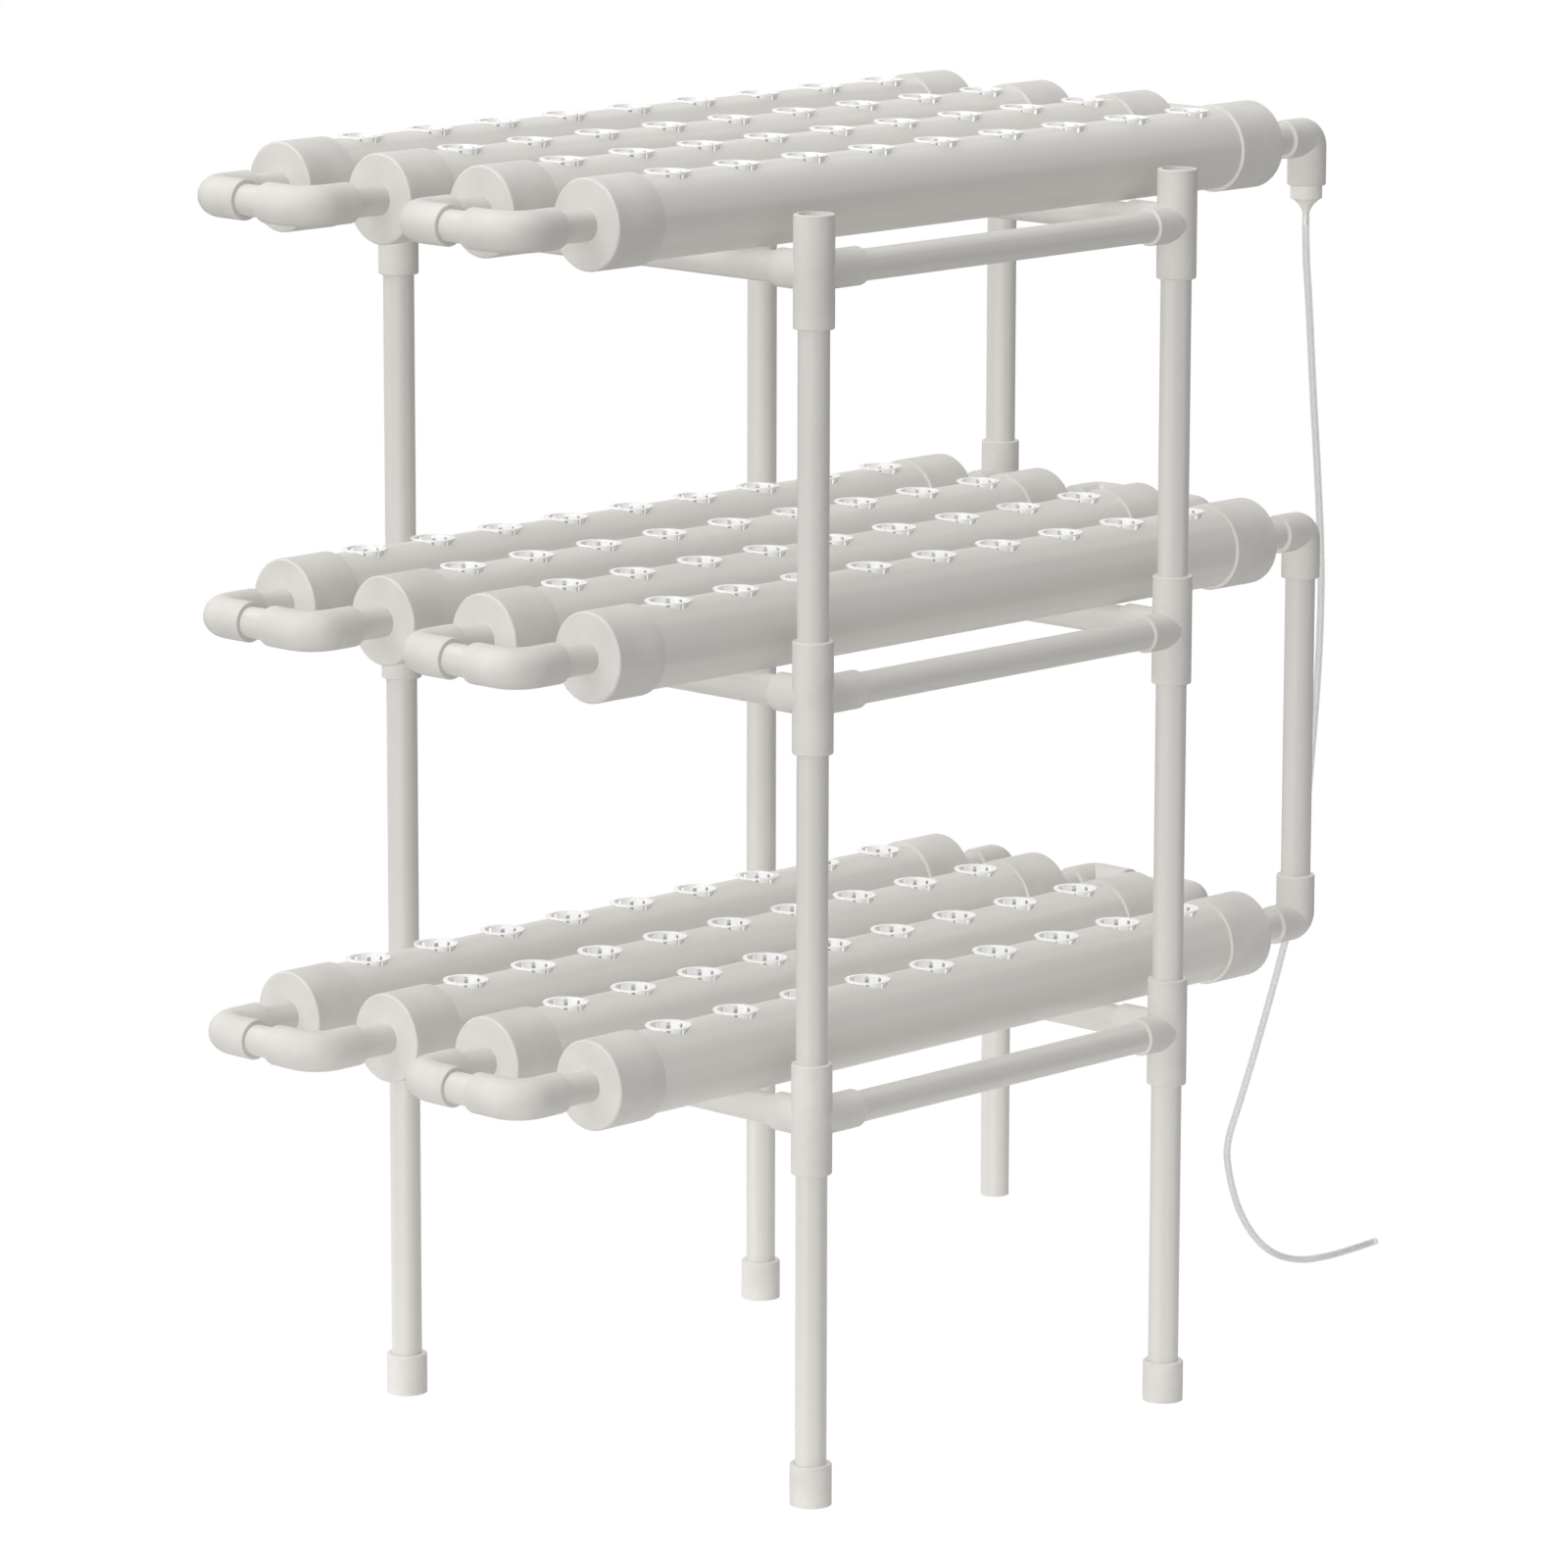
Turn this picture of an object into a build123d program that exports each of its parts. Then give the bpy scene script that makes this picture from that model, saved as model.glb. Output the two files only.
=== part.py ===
from build123d import *
import math
import os

# Hydroponic growing rack: three levels of four grow pipes on a tube frame.
# Millimetres, Z up. The origin is on the floor, under the middle of the rack
# without its supply hose. X runs along the pipes to the right, Y goes away.

# Frame tube and its glued sockets
TUBE_OD = 25.0
TUBE_WALL = 2.0
SOCKET_GAP = 0.05
SOCKET_END_GAP = 0.5
SOCKET_DEPTH = 24.0
SOCKET_LEDGE = 1.0
MOUTH_ROUND = 1.2

# Corner tee: a vertical run with a long and a short arm, square to each other
RUN_OD = 32.4
RUN_LENGTH = 88.7
ARM_OD = 30.6
LONG_ARM = 48.0
SHORT_ARM = 36.0
LONG_SOCKET_DEPTH = 28.0
SHORT_SOCKET_DEPTH = 17.5

# Stand
LEG_SPAN_X = 422.0
LEG_SPAN_Y = 464.4
FOOT_OD = 33.4
FOOT_HEIGHT = 33.3
FOOT_FLOOR = 4.0
FIRST_TEE_Z = 313.1
LEVEL_PITCHES = (335.0, 331.4)
LEVELS = ("low", "mid", "top")

# Grow pipes with their end caps, pipe 1 at the back
PIPE_OD = 65.8
PIPE_WALL = 2.2
PIPE_COUNT = 4
PIPE_PITCH = 114.0
PIPE_ROW_OFFSET = 6.0
PIPE_SET_LENGTH = 770.0
LEG_OFFSET = 5.0
REST_GAP = 0.05
CAP_OD = 71.6
CAP_LENGTH = 50.0
CAP_END = 4.0
CAP_ROUND = 2.0
CAP_MOUTH_BEVEL = 0.45
HOLE_OD = 32.0
HOLE_COUNT = 9
LEFT_HOLE_MARGIN = 87.7
RIGHT_HOLE_MARGIN = 80.7

# Net cups: the flat rim rests on the crown of the pipe, the slots start under it
CUP_RIM_OD = 36.4
CUP_RIM_THICKNESS = 1.0
CUP_TOP_OD = 31.4
CUP_BOTTOM_OD = 24.0
CUP_DEPTH = 40.0
CUP_WALL = 1.2
SLOT_COUNT = 8
SLOT_WIDTH = 3.0
SLOT_TOP_DROP = 0.6
SLOT_LENGTH = 31.0
FLOOR_HOLE_OD = 3.5
FLOOR_HOLE_COUNT = 6
FLOOR_HOLE_CIRCLE = 14.0

# Water path fittings
STUB_INSIDE = 10.0
ELBOW_OD = 32.3
LEFT_CORNER_OUT = 75.0
LEFT_BEND = 20.0
LEFT_ARM_X = 43.0
LEFT_ARM_Y = 45.0
RIGHT_CORNER_OUT = 72.0
RIGHT_BEND = 8.0
RIGHT_ARM_X = 31.5
RIGHT_ARM_OUT = 40.0
DRAIN_END_Z = 58.0

# Inlet reducer and supply hose
BUSHING_OD = 26.5
BUSHING_HEIGHT = 11.0
BUSHING_WALL = 2.4
CONE_HEIGHT = 11.5
CONE_SAG_OUT = 0.28
CONE_SAG_DOWN = 0.52
NECK_OD = 6.2
BARB_LENGTH = 11.0
BARB_BORE = 2.4
BARB_GAP = 0.05
HOSE_OD = 6.35
HOSE_BORE = 4.3

# The hose drops from the reducer: steps in X and Y from the reducer's axis,
# and the height as a share of the height of the reducer's neck.
HOSE_DROP = (
    (0.0, 0.0, 0.9688),
    (4.5, -1.0, 0.9226),
    (17.0, 4.0, 0.8469),
    (33.0, 10.0, 0.7631),
    (49.0, 17.5, 0.6802),
    (61.0, 28.5, 0.6017),
    (71.0, 42.0, 0.5242),
    (80.5, 57.0, 0.4459),
    (89.0, 75.0, 0.3611),
    (90.5, 96.0, 0.2907),
    (91.5, 115.5, 0.2293),
    (91.0, 135.5, 0.1674),
    (90.0, 150.0, 0.1255),
    (96.0, 152.5, 0.0991),
    (108.0, 152.0, 0.0628),
    (122.5, 146.5, 0.0343),
    (138.5, 136.0, 0.0146),
)
# Then it lies on the floor, with steps in X and Y only.
HOSE_FLOOR = (
    (170.0, 131.0),
    (196.0, 123.5),
    (231.0, 123.5),
    (269.5, 126.5),
)
ARC_SHARE = 0.45

# One distance by which every cutting tool runs past the face that it cuts
CUT_OVER = 1.0

tube_r = TUBE_OD / 2
bore_r = tube_r + SOCKET_GAP
passage_r = tube_r - TUBE_WALL
pipe_r = PIPE_OD / 2
half_set = PIPE_SET_LENGTH / 2
elbow_r = ELBOW_OD / 2

# The box of the rack without its hose is centred on the origin.
left_reach = half_set + LEFT_CORNER_OUT + elbow_r
right_reach = half_set + RIGHT_CORNER_OUT + elbow_r
pipe_mid_x = (left_reach - right_reach) / 2
leg_mid_x = pipe_mid_x + LEG_OFFSET
left_face_x = pipe_mid_x - half_set
right_face_x = pipe_mid_x + half_set
left_corner_x = left_face_x - LEFT_CORNER_OUT
right_corner_x = right_face_x + RIGHT_CORNER_OUT

tee_z = [FIRST_TEE_Z + sum(LEVEL_PITCHES[:k]) for k in range(len(LEVELS))]
axis_z = [z + tube_r + REST_GAP + pipe_r for z in tee_z]
pipe_y = [PIPE_ROW_OFFSET + ((PIPE_COUNT - 1) / 2 - n) * PIPE_PITCH for n in range(PIPE_COUNT)]
hole_pitch = (PIPE_SET_LENGTH - LEFT_HOLE_MARGIN - RIGHT_HOLE_MARGIN) / (HOLE_COUNT - 1)
hole_x = [left_face_x + LEFT_HOLE_MARGIN + i * hole_pitch for i in range(HOLE_COUNT)]
BACK = 0
FRONT = PIPE_COUNT - 1


def rod(radius, start, direction, length):
    """A solid cylinder from a start point along a direction."""
    plane = Plane(origin=start, z_dir=direction)
    body = Cylinder(radius, length, align=(Align.CENTER, Align.CENTER, Align.MIN))
    return plane * body


def tube(outer_r, inner_r, start, direction, length):
    """A tube from a start point along a direction."""
    way = Vector(direction).normalized()
    inner_start = Vector(start) - way * CUT_OVER
    return rod(outer_r, start, way, length) - rod(inner_r, inner_start, way, length + 2 * CUT_OVER)


def tube_between(start, end):
    """A piece of the frame tube between two points."""
    way = Vector(end) - Vector(start)
    return tube(tube_r, passage_r, start, way, way.length)


def arm(outer_r, length, start=(0, 0, 0)):
    """A fitting's arm along Z with a rounded outer edge at its mouth."""
    body = rod(outer_r, start, (0, 0, 1), length)
    return fillet(body.edges().filter_by(GeomType.CIRCLE).sort_by(Axis.Z)[-1], MOUTH_ROUND)


def socket_cut(mouth, depth, inwards):
    """The socket bore with the narrower passage that leaves its ledge."""
    way = Vector(inwards).normalized()
    start = Vector(mouth) - way * CUT_OVER
    return rod(bore_r, start, way, depth + CUT_OVER)


def corner_tee():
    """Run along Z, long arm along +X and short arm along +Y."""
    half = RUN_LENGTH / 2
    up = arm(RUN_OD / 2, half)
    down = Rot(180, 0, 0) * up
    long_arm = Rot(0, 90, 0) * arm(ARM_OD / 2, LONG_ARM)
    short_arm = Rot(-90, 0, 0) * arm(ARM_OD / 2, SHORT_ARM)
    body = up + down + long_arm + short_arm
    body -= rod(passage_r, (0, 0, -half - CUT_OVER), (0, 0, 1), RUN_LENGTH + 2 * CUT_OVER)
    body -= rod(passage_r, (0, 0, 0), (1, 0, 0), LONG_ARM + CUT_OVER)
    body -= rod(passage_r, (0, 0, 0), (0, 1, 0), SHORT_ARM + CUT_OVER)
    body -= socket_cut((0, 0, half), SOCKET_DEPTH, (0, 0, -1))
    body -= socket_cut((0, 0, -half), SOCKET_DEPTH, (0, 0, 1))
    body -= socket_cut((LONG_ARM, 0, 0), LONG_SOCKET_DEPTH, (-1, 0, 0))
    body -= socket_cut((0, SHORT_ARM, 0), SHORT_SOCKET_DEPTH, (0, -1, 0))
    return body


def elbow_socket(length, bend):
    """Depth of the socket in an elbow's arm."""
    return min(SOCKET_DEPTH, length - bend - SOCKET_LEDGE)


def elbow(length_a, length_b, bend):
    """Corner at the origin, one arm along +X and the other along +Y."""
    arm_a = Rot(0, 90, 0) * arm(elbow_r, length_a - bend, (0, 0, bend))
    arm_b = Rot(-90, 0, 0) * arm(elbow_r, length_b - bend, (0, 0, bend))
    section_plane = Plane(origin=(bend, 0, 0), x_dir=(0, 1, 0), z_dir=(1, 0, 0))
    turn_axis = Axis((bend, bend, 0), (0, 0, -1))
    # On a tight bend the part of the section past the turning axis is left out.
    keep = Pos(bend - 2 * elbow_r, 0) * Rectangle(4 * elbow_r, 4 * elbow_r)
    outer = section_plane * (Circle(elbow_r) & keep)
    body = arm_a + arm_b + revolve(outer, axis=turn_axis, revolution_arc=90)
    inner_keep = section_plane * (Circle(passage_r) & keep)
    body -= revolve(inner_keep, axis=turn_axis, revolution_arc=90)
    body -= rod(passage_r, (bend, 0, 0), (1, 0, 0), length_a)
    body -= rod(passage_r, (0, bend, 0), (0, 1, 0), length_b)
    body -= socket_cut((length_a, 0, 0), elbow_socket(length_a, bend), (-1, 0, 0))
    body -= socket_cut((0, length_b, 0), elbow_socket(length_b, bend), (0, -1, 0))
    return body


def placed_elbow(shape, corner, way_a, way_b):
    """The elbow with its corner at a point and its arms along two directions."""
    up = Vector(way_a).cross(Vector(way_b))
    return Plane(origin=corner, x_dir=way_a, z_dir=up) * shape


def end_cap():
    """Cap on a pipe's left end: end wall at x = 0, mouth towards +X."""
    body = rod(CAP_OD / 2, (0, 0, 0), (1, 0, 0), CAP_LENGTH)
    body = fillet(body.edges().filter_by(GeomType.CIRCLE).sort_by(Axis.X)[0], CAP_ROUND)
    mouth_edge = body.edges().filter_by(GeomType.CIRCLE).sort_by(Axis.X)[-1]
    body = chamfer(mouth_edge, CAP_MOUTH_BEVEL)
    inner_r = pipe_r + SOCKET_GAP
    body -= rod(inner_r, (CAP_END, 0, 0), (1, 0, 0), CAP_LENGTH)
    body -= rod(bore_r, (-CUT_OVER, 0, 0), (1, 0, 0), CAP_END + 2 * CUT_OVER)
    return body


def grow_pipe():
    """Pipe along X about the pipe middle, with the cup holes in its top."""
    length = PIPE_SET_LENGTH - 2 * (CAP_END + SOCKET_END_GAP)
    body = tube(pipe_r, pipe_r - PIPE_WALL, (-length / 2, 0, 0), (1, 0, 0), length)
    for x in hole_x:
        body -= rod(HOLE_OD / 2, (x - pipe_mid_x, 0, 0), (0, 0, 1), pipe_r + CUT_OVER)
    return body


def net_cup():
    """A cup about its own upright axis, z = 0 at the axis of its pipe."""
    seat_z = pipe_r + REST_GAP
    top_z = seat_z + CUP_RIM_THICKNESS
    low_z = top_z - CUP_DEPTH
    floor_z = low_z + CUP_WALL
    rim_r = CUP_RIM_OD / 2
    top_r = CUP_TOP_OD / 2
    low_r = CUP_BOTTOM_OD / 2
    section = Plane.XZ * Polygon(
        (0, low_z),
        (low_r, low_z),
        (top_r, seat_z),
        (rim_r, seat_z),
        (rim_r, top_z),
        (top_r - CUP_WALL, top_z),
        (low_r - CUP_WALL, floor_z),
        (0, floor_z),
        align=None,
    )
    cup = revolve(section, axis=Axis.Z)
    slot_z = seat_z - SLOT_TOP_DROP - SLOT_LENGTH / 2
    for i in range(SLOT_COUNT // 2):
        bar = Box(CUP_RIM_OD, SLOT_WIDTH, SLOT_LENGTH)
        cup -= Pos(0, 0, slot_z) * Rot(0, 0, 360 * i / SLOT_COUNT) * bar
    for i in range(FLOOR_HOLE_COUNT):
        turn = math.radians(360 * i / FLOOR_HOLE_COUNT)
        x = FLOOR_HOLE_CIRCLE / 2 * math.cos(turn)
        y = FLOOR_HOLE_CIRCLE / 2 * math.sin(turn)
        cup -= rod(FLOOR_HOLE_OD / 2, (x, y, low_z - CUT_OVER), (0, 0, 1), CUP_WALL + 2 * CUT_OVER)
    return cup


def foot_cap():
    """Foot with its closed end on the floor."""
    body = arm(FOOT_OD / 2, FOOT_HEIGHT)
    body -= rod(bore_r, (0, 0, FOOT_FLOOR), (0, 0, 1), FOOT_HEIGHT)
    return body


def inlet_reducer(mouth_z):
    """Reducer under the inlet elbow, revolved about its own upright axis."""
    plug_top = mouth_z + elbow_socket(RIGHT_ARM_OUT, RIGHT_BEND) - SOCKET_END_GAP
    bush_low = mouth_z - BUSHING_HEIGHT
    neck_z = bush_low - CONE_HEIGHT
    barb_r = HOSE_BORE / 2 - BARB_GAP
    bush_r = BUSHING_OD / 2
    neck_r = NECK_OD / 2
    bowl_r = tube_r - BUSHING_WALL
    with BuildPart() as part:
        with BuildSketch(Plane.XZ):
            with BuildLine():
                Line((BARB_BORE / 2, neck_z - BARB_LENGTH), (barb_r, neck_z - BARB_LENGTH))
                Line((barb_r, neck_z - BARB_LENGTH), (barb_r, neck_z))
                Line((barb_r, neck_z), (neck_r, neck_z))
                ThreePointArc(
                    (neck_r, neck_z),
                    (neck_r + (bush_r - neck_r) * CONE_SAG_OUT, bush_low - CONE_HEIGHT * CONE_SAG_DOWN),
                    (bush_r, bush_low),
                )
                Line((bush_r, bush_low), (bush_r, mouth_z))
                Line((bush_r, mouth_z), (tube_r, mouth_z))
                Line((tube_r, mouth_z), (tube_r, plug_top))
                Line((tube_r, plug_top), (bowl_r, plug_top))
                Line((bowl_r, plug_top), (bowl_r, mouth_z - BUSHING_HEIGHT / 2))
                Line(
                    (bowl_r, mouth_z - BUSHING_HEIGHT / 2),
                    (BARB_BORE / 2, bush_low - CONE_HEIGHT / 4),
                )
                Line((BARB_BORE / 2, bush_low - CONE_HEIGHT / 4), (BARB_BORE / 2, neck_z - BARB_LENGTH))
            make_face()
        revolve(axis=Axis.Z)
    return part.part


def hose_points(neck):
    """The corners of the hose's route from the reducer's neck to the cut end."""
    rest_z = HOSE_OD / 2 + REST_GAP
    points = [neck]
    points += [neck + Vector(x, y, neck.Z * (share - 1)) for x, y, share in HOSE_DROP]
    points += [Vector(neck.X + x, neck.Y + y, rest_z) for x, y in HOSE_FLOOR]
    return points


def hose_radii(points):
    """At each corner the largest arc that both of its runs leave room for."""
    radii = []
    for a, b, c in zip(points, points[1:], points[2:]):
        half_turn = math.radians((b - a).get_angle(c - b) / 2)
        radii.append(ARC_SHARE * min((b - a).length, (c - b).length) / math.tan(half_turn))
    return radii


def supply_hose(neck):
    """The hose as straight runs joined by tangent arcs, and its path's length."""
    points = hose_points(neck)
    radii = hose_radii(points)
    print("hose radii", [round(radius, 1) for radius in radii])
    path = FilletPolyline(*points, radius=radii)
    start = Plane(origin=neck, z_dir=path % 0)
    outer = sweep(start * Circle(HOSE_OD / 2), path=path)
    inner = sweep(start * Circle(HOSE_BORE / 2), path=path)
    hose = outer - inner
    section = math.pi * (HOSE_OD**2 - HOSE_BORE**2) / 4
    print("hose length", round(path.length, 1))
    print("hose volume and section times length", round(hose.volume), round(section * path.length))
    return hose


def save(name, shapes):
    """One named node: its solids in one file."""
    solids = [solid for shape in shapes for solid in shape.solids()]
    node = solids[0] if len(solids) == 1 else Compound(children=solids)
    node.label = name
    export_step(node, f"parts/{name}.step")
    print(name, len(solids), round(sum(solid.volume for solid in solids), 1))


os.makedirs("parts", exist_ok=True)

tee = corner_tee()
cap = end_cap()
pipe = grow_pipe()
cup = net_cup()
left_elbow = elbow(LEFT_ARM_X, LEFT_ARM_Y, LEFT_BEND)
right_elbow = elbow(RIGHT_ARM_X, RIGHT_ARM_OUT, RIGHT_BEND)

half_x = LEG_SPAN_X / 2
half_y = LEG_SPAN_Y / 2
corners = [(leg_mid_x + i * half_x, j * half_y) for j in (-1, 1) for i in (-1, 1)]
foot = foot_cap()
save("foot_caps", [Pos(x, y, 0) * foot for x, y in corners])

half_run = RUN_LENGTH / 2
for k, level in enumerate(LEVELS):
    z = tee_z[k]

    # The same tee at all corners: turned, or upside down at the back left.
    save(
        f"corner_tees_{level}",
        [
            Pos(leg_mid_x - half_x, -half_y, z) * tee,
            Pos(leg_mid_x + half_x, -half_y, z) * Rot(0, 0, 90) * tee,
            Pos(leg_mid_x + half_x, half_y, z) * Rot(0, 0, 180) * tee,
            Pos(leg_mid_x - half_x, half_y, z) * Rot(180, 0, 0) * tee,
        ],
    )

    # Leg tubes stand in the foot or the tee below and reach into this tee.
    bottom = FOOT_FLOOR
    if k:
        bottom = tee_z[k - 1] + half_run - SOCKET_DEPTH
    bottom += SOCKET_END_GAP
    top = z - half_run + SOCKET_DEPTH - SOCKET_END_GAP
    save(f"leg_tubes_{level}", [tube_between((x, y, bottom), (x, y, top)) for x, y in corners])

    # Rails along X and cross tubes along Y between the tees' arms.
    long_stop = LONG_ARM - LONG_SOCKET_DEPTH + SOCKET_END_GAP
    short_stop = SHORT_ARM - SHORT_SOCKET_DEPTH + SOCKET_END_GAP
    left = leg_mid_x - half_x
    right = leg_mid_x + half_x
    save(
        f"rails_{level}",
        [
            tube_between((left + long_stop, -half_y, z), (right - short_stop, -half_y, z)),
            tube_between((left + long_stop, half_y, z), (right - long_stop, half_y, z)),
        ],
    )
    save(
        f"cross_tubes_{level}",
        [
            tube_between((left, -half_y + short_stop, z), (left, half_y - short_stop, z)),
            tube_between((right, -half_y + long_stop, z), (right, half_y - short_stop, z)),
        ],
    )

# Where the water crosses from pipe to pipe on the left and on the right.
left_pairs = [(n, n + 1) for n in range(0, PIPE_COUNT, 2)]
right_pairs = [(n, n + 1) for n in range(1, PIPE_COUNT - 1, 2)]

left_socket_x = elbow_socket(LEFT_ARM_X, LEFT_BEND)
left_socket_y = elbow_socket(LEFT_ARM_Y, LEFT_BEND)
right_socket_x = elbow_socket(RIGHT_ARM_X, RIGHT_BEND)
out_inset = RIGHT_ARM_OUT - elbow_socket(RIGHT_ARM_OUT, RIGHT_BEND) + SOCKET_END_GAP

for k, level in enumerate(LEVELS):
    z = axis_z[k]
    for n, y in enumerate(pipe_y):
        save(f"grow_pipe_{level}_{n + 1}", [Pos(pipe_mid_x, y, z) * pipe])
        save(f"net_cups_{level}_{n + 1}", [Pos(x, y, z) * cup for x in hole_x])
    save(f"end_caps_left_{level}", [Pos(left_face_x, y, z) * cap for y in pipe_y])
    save(
        f"end_caps_right_{level}",
        [Pos(right_face_x, y, z) * Rot(0, 0, 180) * cap for y in pipe_y],
    )

    # Stubs from inside each cap to the ledge of the elbow on it.
    left_out = left_corner_x + LEFT_ARM_X - left_socket_x + SOCKET_END_GAP
    right_out = right_corner_x - RIGHT_ARM_X + right_socket_x - SOCKET_END_GAP
    left_in = left_face_x + CAP_END + STUB_INSIDE
    right_in = right_face_x - CAP_END - STUB_INSIDE
    stubs = [tube_between((left_out, y, z), (left_in, y, z)) for y in pipe_y]
    stubs += [tube_between((right_in, y, z), (right_out, y, z)) for y in pipe_y]
    save(f"pipe_stubs_{level}", stubs)

    bends = []
    links = []
    for back, front in left_pairs:
        for n, way in ((back, -1), (front, 1)):
            corner = (left_corner_x, pipe_y[n], z)
            bends.append(placed_elbow(left_elbow, corner, (1, 0, 0), (0, way, 0)))
        inset = LEFT_ARM_Y - left_socket_y + SOCKET_END_GAP
        links.append(
            tube_between(
                (left_corner_x, pipe_y[front] + inset, z),
                (left_corner_x, pipe_y[back] - inset, z),
            )
        )
    for back, front in right_pairs:
        for n, way in ((back, -1), (front, 1)):
            corner = (right_corner_x, pipe_y[n], z)
            bends.append(placed_elbow(right_elbow, corner, (-1, 0, 0), (0, way, 0)))
        links.append(
            tube_between(
                (right_corner_x, pipe_y[front] + out_inset, z),
                (right_corner_x, pipe_y[back] - out_inset, z),
            )
        )
    # The front end feeds the level at the top and passes the water down from
    # the middle. The back end passes it down from the top and drains the low.
    front_goes_down = k != 0
    back_goes_down = k != 1
    for n, goes_down in ((BACK, back_goes_down), (FRONT, front_goes_down)):
        corner = (right_corner_x, pipe_y[n], z)
        way = (0, 0, -1 if goes_down else 1)
        bends.append(placed_elbow(right_elbow, corner, (-1, 0, 0), way))
    save(f"elbows_{level}", bends)
    save(f"link_tubes_{level}", links)

# Drop tubes between the levels and the open drain tube.
drops = (
    ("drop_tube_back", BACK, axis_z[1] + out_inset, axis_z[2] - out_inset),
    ("drop_tube_front", FRONT, axis_z[0] + out_inset, axis_z[1] - out_inset),
    ("drain_tube", BACK, DRAIN_END_Z, axis_z[0] - out_inset),
)
for name, n, low, high in drops:
    y = pipe_y[n]
    save(name, [tube_between((right_corner_x, y, low), (right_corner_x, y, high))])

inlet_z = axis_z[2] - RIGHT_ARM_OUT
save("inlet_reducer", [Pos(right_corner_x, pipe_y[FRONT], 0) * inlet_reducer(inlet_z)])
neck = Vector(right_corner_x, pipe_y[FRONT], inlet_z - BUSHING_HEIGHT - CONE_HEIGHT)
save("supply_hose", [supply_hose(neck)])
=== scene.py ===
# %% [markdown]
# # A hydroponic growing rack
#
# The real thing is plumbing. Three beds of four grey-white PVC pipes lie on a frame of thin
# PVC tube, held at the corners by three-way tees. White net cups hang in holes along every
# pipe, and water comes in through a clear hose at the top right and runs down from bed to bed.
#
# The construction is already settled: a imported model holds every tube, tee, cap and cup at
# its real size. This script gives those pieces their finish, makes the one soft piece, the
# hose, and sets up the camera, the floor and the light.

# %% Load the frame
import math

import bpy
import numpy as np
from mathutils import Matrix, Vector


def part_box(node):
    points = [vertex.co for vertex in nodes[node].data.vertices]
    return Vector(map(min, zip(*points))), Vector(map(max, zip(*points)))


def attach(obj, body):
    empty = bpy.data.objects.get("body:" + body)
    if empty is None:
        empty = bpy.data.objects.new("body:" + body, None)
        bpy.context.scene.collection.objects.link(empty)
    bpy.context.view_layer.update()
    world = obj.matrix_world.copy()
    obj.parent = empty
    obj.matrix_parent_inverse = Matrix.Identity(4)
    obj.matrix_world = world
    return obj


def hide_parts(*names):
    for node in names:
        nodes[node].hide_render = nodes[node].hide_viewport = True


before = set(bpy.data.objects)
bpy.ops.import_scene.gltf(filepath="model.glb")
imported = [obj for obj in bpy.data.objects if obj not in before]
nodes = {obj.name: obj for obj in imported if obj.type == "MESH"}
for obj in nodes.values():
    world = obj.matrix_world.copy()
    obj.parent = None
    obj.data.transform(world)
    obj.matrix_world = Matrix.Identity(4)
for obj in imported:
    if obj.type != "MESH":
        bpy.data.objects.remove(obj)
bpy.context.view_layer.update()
print("pieces in the frame:", len(nodes))

# %% [markdown]
# ## The camera
#
# The photograph is taken from the front left, a little above the top bed, with a long lens:
# the legs stay almost parallel. The place and the three angles were found by matching the
# ends of the pipes, the tees and the feet with their places in the photograph.
#
# A camera looks along its own -Z axis with +Y up. So its matrix has three columns: the
# direction to the right, the direction up, and the direction backwards.

# %% Place the camera
CAMERA_PLACE = (-4.37317, -4.21819, 1.72865)
CAMERA_YAW = math.radians(46.0628)
CAMERA_PITCH = math.radians(11.2679)
CAMERA_ROLL = math.radians(0.1236)
CAMERA_LENS = 174.164
CAMERA_SENSOR = 36.0
CAMERA_REACH = 100.0


def camera_axes(yaw, pitch, roll):
    """The camera's right, up and forward directions.

    Forward is the +Y direction turned by yaw towards +X and by pitch downwards. Right is
    level, up is square to both, and roll then turns right and up about forward.
    """
    level = Vector((math.sin(yaw), math.cos(yaw), 0.0))
    forward = level * math.cos(pitch) - Vector((0.0, 0.0, math.sin(pitch)))
    right = Vector((math.cos(yaw), -math.sin(yaw), 0.0))
    up = right.cross(forward)
    turned_right = right * math.cos(roll) + up * math.sin(roll)
    turned_up = up * math.cos(roll) - right * math.sin(roll)
    return turned_right, turned_up, forward


right, up, forward = camera_axes(CAMERA_YAW, CAMERA_PITCH, CAMERA_ROLL)
camera_turn = Matrix((right, up, -forward)).transposed().to_4x4()
camera_data = bpy.data.cameras.new("studio_camera")
camera_data.lens = CAMERA_LENS
camera_data.sensor_width = CAMERA_SENSOR
camera_data.clip_end = CAMERA_REACH
camera = bpy.data.objects.new("studio_camera", camera_data)
camera.matrix_world = Matrix.Translation(CAMERA_PLACE) @ camera_turn
bpy.context.scene.collection.objects.link(camera)
bpy.context.scene.camera = camera
print("camera looks along", [round(v, 3) for v in forward])

# %% [markdown]
# ## The route of the supply hose
#
# The hose is soft clear tube. It leaves the reducer under the top right elbow, hangs in one
# long slack bow beside the rack and lies on the floor with a bare end.
#
# A soft tube has no corners, so its line is a smooth curve. A NURBS spline is right for
# this: its control points pull the line towards them and it never has to pass through
# them. The points below are the same ones that the solid hose was built round.

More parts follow.
